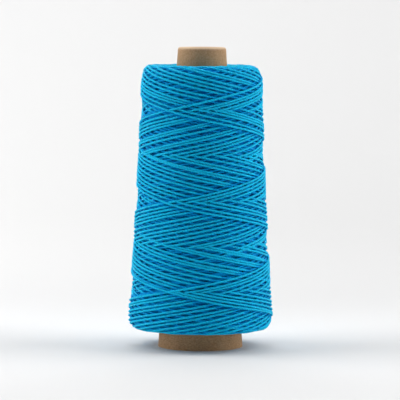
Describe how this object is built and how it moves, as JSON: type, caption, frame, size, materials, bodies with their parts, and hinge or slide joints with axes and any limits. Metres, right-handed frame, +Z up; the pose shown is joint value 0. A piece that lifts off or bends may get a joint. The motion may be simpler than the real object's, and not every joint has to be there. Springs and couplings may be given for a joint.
{
  "type": "yarn cone",
  "caption": "Tapered kraft paper cone wound full with crossing lays of one plied cotton yarn, bare at both ends, standing on its wide base rim.",
  "frame": {"origin": "centre of the paper cone's base rim, on the surface it stands on", "axes": "+Z up along the cone's axis, from the wide base to the nose; X and Y across it"},
  "size_m": [0.082, 0.082, 0.17],
  "materials": {
    "liner_paper": "matte",
    "cone_board": "matte",
    "kraft_wrap": "matte",
    "yarn": "matte"
  },
  "bodies": {
    "root": {"cone_liner": "liner_paper", "cone_board": "cone_board", "cone_wrap": "kraft_wrap", "first_lays": "yarn", "inner_lays": "yarn", "middle_lays": "yarn", "outer_lays": "yarn", "surface_lays": "yarn"}
  },
  "joints": []
}
